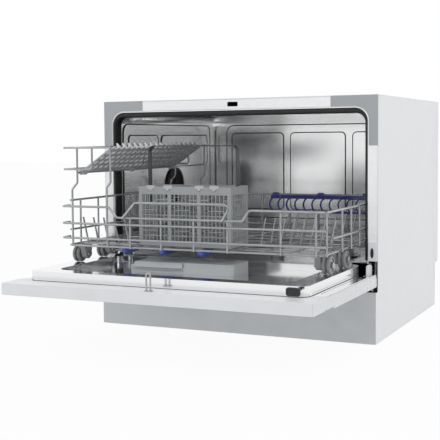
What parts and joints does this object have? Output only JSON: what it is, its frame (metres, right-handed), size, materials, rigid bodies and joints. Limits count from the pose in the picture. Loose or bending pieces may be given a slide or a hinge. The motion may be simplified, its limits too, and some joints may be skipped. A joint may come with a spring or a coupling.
{
  "type": "countertop dishwasher",
  "caption": "Countertop dishwasher with a drop-down door, a rolling wire rack with cup shelf and glass holder, and a lattice cutlery basket.",
  "frame": {"origin": "centre of the footprint of the object with its door open, at the height of the feet's underside", "axes": "front (open door) towards -Y, up +Z, right side seen from the front +X"},
  "size_m": [0.55, 0.822, 0.438],
  "materials": {
    "painted_steel": "satin",
    "grey_paint": "satin",
    "stainless": "brushed",
    "chrome_wire": "satin",
    "chrome": "polished",
    "black_rubber": "matte",
    "white_plastic": "matte",
    "grey_plastic": "matte",
    "dark_plastic": "matte",
    "blue_plastic": "satin",
    "black_gloss": "gloss",
    "door_paint": "satin",
    "door_plastic": "satin",
    "lattice_plastic": "matte"
  },
  "bodies": {
    "cabinet": {"side_panel_left": "painted_steel", "side_panel_right": "painted_steel", "top_panel": "painted_steel", "rear_cover": "white_plastic", "base_tray": "dark_plastic", "kick_plate": "grey_paint", "feet": "black_rubber", "front_frame": "painted_steel", "corner_brackets": "grey_paint", "tub": "stainless", "tub_gasket": "black_rubber", "latch_housing": "dark_plastic", "breather_cap": "dark_plastic", "sump": "grey_plastic", "spray_hub": "grey_plastic", "wash_pump": "dark_plastic", "drain_pump": "dark_plastic", "inlet_valve": "white_plastic", "rear_connectors": "white_plastic", "door_springs": "stainless", "hinge_brackets": "stainless", "hinge_covers": "white_plastic"},
    "door": {"door_panel": "door_paint", "door_side_rails": "door_paint", "control_fascia": "door_plastic", "fascia_end_caps": "door_plastic", "door_liner": "stainless", "striker": "chrome", "dispenser_body": "grey_plastic", "vent_plug": "dark_plastic", "hinge_arms": "stainless", "display_window": "black_gloss"},
    "detergent_lid": {"detergent_lid": "grey_plastic"},
    "rinse_cap": {"rinse_cap": "grey_plastic"},
    "power_button": {"power_button": "door_plastic"},
    "program_button": {"program_button": "door_plastic"},
    "delay_button": {"delay_button": "door_plastic"},
    "start_button": {"start_button": "door_plastic"},
    "filter": {"filter": "grey_plastic"},
    "spray_arm": {"spray_arm": "grey_plastic"},
    "balance_pulleys": {"balance_pulleys": "white_plastic"},
    "front_axles": {"front_axles": "chrome"},
    "rack": {"rack_front": "chrome_wire", "rack_back": "chrome_wire", "rack_left": "chrome_wire", "rack_right": "chrome_wire", "rack_floor": "chrome_wire", "plate_tines_front": "chrome_wire", "plate_tines_rear": "chrome_wire", "plate_tines_left": "chrome_wire", "shelf_support": "chrome_wire", "wheel_brackets": "grey_plastic", "rack_axles": "chrome", "floor_supports": "blue_plastic"},
    "cup_shelf": {"cup_shelf": "grey_plastic"},
    "glass_holder": {"glass_holder": "blue_plastic"},
    "cutlery_basket": {"cutlery_basket": "lattice_plastic"},
    "wheels_front": {"wheels_front": "grey_plastic"},
    "wheels_middle": {"wheels_middle": "grey_plastic"},
    "wheels_rear": {"wheels_rear": "grey_plastic"}
  },
  "joints": [
    {"name": "door_hinge", "type": "hinge", "parent": "cabinet", "child": "door", "pos_m": [0, -0.085, 0.112], "axis": [-1, 0, 0], "range_deg": [0, 90]},
    {"name": "pulley_turn", "type": "hinge", "parent": "cabinet", "child": "balance_pulleys", "pos_m": [0, -0.052, 0.044], "axis": [-1, 0, 0], "range_deg": [0, 157.5]},
    {"name": "rack_carry", "type": "slide", "parent": "balance_pulleys", "child": "front_axles", "axis": [0, 0.3598, -0.933], "range_m": [0, 0.21087]},
    {"name": "rack_level", "type": "hinge", "parent": "front_axles", "child": "rack", "pos_m": [0, -0.226, 0.158], "axis": [-1, 0, 0], "range_deg": [-157.5, 0]},
    {"name": "wheels_front_roll", "type": "hinge", "parent": "rack", "child": "wheels_front", "pos_m": [0, -0.226, 0.158], "axis": [1, 0, 0], "continuous": true},
    {"name": "wheels_middle_roll", "type": "hinge", "parent": "rack", "child": "wheels_middle", "pos_m": [0, -0.143, 0.158], "axis": [1, 0, 0], "continuous": true},
    {"name": "wheels_rear_roll", "type": "hinge", "parent": "rack", "child": "wheels_rear", "pos_m": [0, 0.082, 0.158], "axis": [1, 0, 0], "continuous": true},
    {"name": "cup_shelf_fold", "type": "hinge", "parent": "rack", "child": "cup_shelf", "pos_m": [-0.216, -0.068, 0.306], "axis": [0, -1, 0], "range_deg": [-34, 0]},
    {"name": "glass_holder_fold", "type": "hinge", "parent": "rack", "child": "glass_holder", "pos_m": [0, 0.132, 0.25], "axis": [1, 0, 0], "range_deg": [-90, 0]},
    {"name": "basket_lift", "type": "slide", "parent": "rack", "child": "cutlery_basket", "axis": [0, 0, -1], "range_m": [-0.15, 0]},
    {"name": "spray_arm_spin", "type": "hinge", "parent": "cabinet", "child": "spray_arm", "pos_m": [0, 0.16, 0.146], "axis": [0, 0, 1], "continuous": true},
    {"name": "filter_twist", "type": "hinge", "parent": "cabinet", "child": "filter", "pos_m": [0.105, 0.232, 0.118], "axis": [0, 0, 1], "range_deg": [-90, 0]},
    {"name": "lid_slide", "type": "slide", "parent": "door", "child": "detergent_lid", "axis": [1, 0, 0], "range_m": [-0.046, 0]},
    {"name": "rinse_cap_twist", "type": "hinge", "parent": "door", "child": "rinse_cap", "pos_m": [0.008, -0.176, 0.145], "axis": [0, 0, 1], "range_deg": [-90, 0]},
    {"name": "power_press", "type": "slide", "parent": "door", "child": "power_button", "axis": [0, 0, -1], "range_m": [-0.0015, 0], "stiffness_N_per_m": 400, "springref_m": 0.0005},
    {"name": "program_press", "type": "slide", "parent": "door", "child": "program_button", "axis": [0, 0, -1], "range_m": [-0.0015, 0], "stiffness_N_per_m": 400, "springref_m": 0.0005},
    {"name": "delay_press", "type": "slide", "parent": "door", "child": "delay_button", "axis": [0, 0, -1], "range_m": [-0.0015, 0], "stiffness_N_per_m": 400, "springref_m": 0.0005},
    {"name": "start_press", "type": "slide", "parent": "door", "child": "start_button", "axis": [0, 0, -1], "range_m": [-0.0015, 0], "stiffness_N_per_m": 400, "springref_m": 0.0005}
  ],
  "couplings": [
    {"joint": "pulley_turn", "follows": "door_hinge", "ratio": 1.75},
    {"joint": "rack_carry", "follows": "door_hinge", "m_per_rad": 0.13424},
    {"joint": "rack_level", "follows": "door_hinge", "ratio": -1.75}
  ]
}
